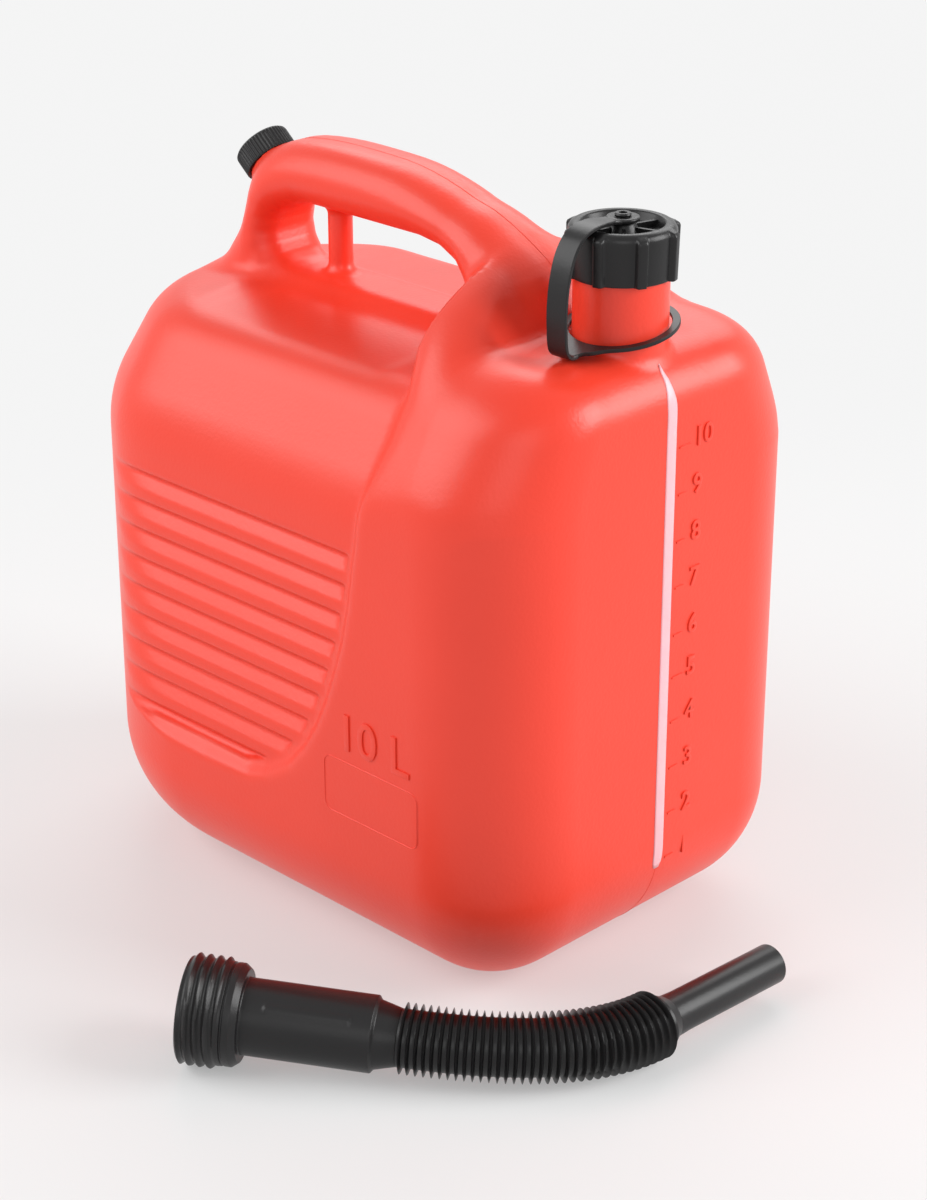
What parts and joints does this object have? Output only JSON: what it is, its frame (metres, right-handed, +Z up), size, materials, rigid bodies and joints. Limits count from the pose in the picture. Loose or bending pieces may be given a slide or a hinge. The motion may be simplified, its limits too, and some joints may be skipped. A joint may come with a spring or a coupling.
{
  "type": "gas can",
  "caption": "Blow-moulded fuel can with a hollow grip handle, a tethered screw cap, a slanted vent cap, ribbed sides and a separate bellows pouring spout.",
  "frame": {"origin": "centre of the can's flat base, on the floor", "axes": "+X towards the filler neck, +Z up, ribbed sides at -Y and +Y"},
  "size_m": [0.3525, 0.303, 0.3203],
  "materials": {
    "red_plastic": "satin red polyethylene with a fine moulded grain",
    "clear_plastic": "natural translucent polyethylene",
    "black_plastic": "satin black polyethylene",
    "seal_rubber": "matt nitrile rubber"
  },
  "bodies": {
    "can": {"can_body": "red_plastic", "level_stripe": "clear_plastic"},
    "cap_seal": {"cap_gasket": "seal_rubber"},
    "cap": {"filler_cap": "black_plastic"},
    "strap": {"strap_ring": "black_plastic", "strap_band": "black_plastic"},
    "strap_end": {"strap_eyelet": "black_plastic"},
    "vent_seal": {"vent_gasket": "seal_rubber"},
    "vent": {"vent_cap": "black_plastic"},
    "spout": {"spout_collar": "black_plastic", "spout_gasket": "seal_rubber", "spout_bellows": "black_plastic"},
    "nozzle": {"spout_nozzle": "black_plastic"}
  },
  "joints": [
    {"name": "cap_turn", "type": "hinge", "parent": "cap_seal", "child": "cap", "pos_m": [0.117, 0, 0.27], "axis": [0, 0, 1], "range_deg": [0, 720]},
    {"name": "cap_lift", "type": "slide", "parent": "can", "child": "cap_seal", "axis": [0, 0, 1], "range_m": [0, 0.0101]},
    {"name": "strap_swivel", "type": "hinge", "parent": "can", "child": "strap", "pos_m": [0.117, 0, 0.27], "axis": [0, 0, 1], "range_deg": [-30, 200]},
    {"name": "strap_lift", "type": "slide", "parent": "strap", "child": "strap_end", "axis": [0, 0, 1], "range_m": [0, 0.0101], "deforming": ["strap_band"]},
    {"name": "vent_turn", "type": "hinge", "parent": "vent_seal", "child": "vent", "pos_m": [-0.0855, 0, 0.3015], "axis": [-0.766, 0, 0.6428], "range_deg": [0, 720]},
    {"name": "vent_lift", "type": "slide", "parent": "can", "child": "vent_seal", "axis": [-0.766, 0, 0.6428], "range_m": [0, 0.0061]},
    {"name": "spout_lift", "type": "slide", "parent": "can", "child": "spout", "axis": [0, 0, 1], "range_m": [0, 0.25]},
    {"name": "spout_bend", "type": "hinge", "parent": "spout", "child": "nozzle", "pos_m": [0.18766, -0.09392, 0.0144], "axis": [0, 0, 1], "range_deg": [-51, 24], "deforming": ["spout_bellows"]}
  ],
  "couplings": [
    {"joint": "cap_lift", "follows": "cap_turn", "m_per_rad": 0.00079577},
    {"joint": "strap_lift", "follows": "cap_turn", "m_per_rad": 0.00079577},
    {"joint": "vent_lift", "follows": "vent_turn", "m_per_rad": 0.00047746}
  ]
}
